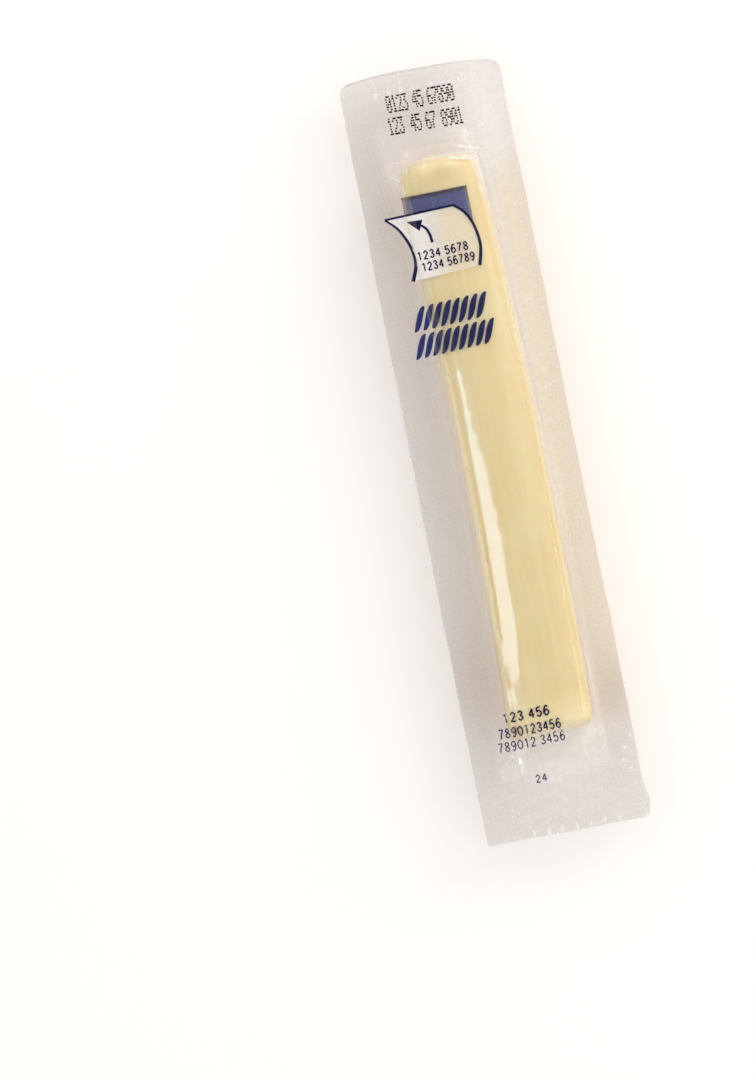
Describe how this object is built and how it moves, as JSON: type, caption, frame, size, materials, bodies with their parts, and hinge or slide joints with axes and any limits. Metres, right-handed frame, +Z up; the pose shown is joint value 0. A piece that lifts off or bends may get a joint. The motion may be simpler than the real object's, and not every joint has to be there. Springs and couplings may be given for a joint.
{
  "type": "sealed pack of string cheese",
  "caption": "Long flat film pack with a sealed flange all round, bulging over the rounded cheese stick inside and flattened where it rests.",
  "frame": {"origin": "under the middle of the pack, on the surface it rests on", "axes": "+X to the right across the pack, +Y along it towards the end with the dotted code, +Z up through the printed lid"},
  "size_m": [0.032, 0.1528, 0.0156],
  "materials": {
    "film": "clear glossy packing film, slightly hazy",
    "cheese": "moist cream-yellow pulled-curd cheese, smooth and slightly see-through",
    "ink": "see-through blue and near-black print on the film"
  },
  "bodies": {
    "root": {"sealed_pack": "film"}
  },
  "joints": []
}
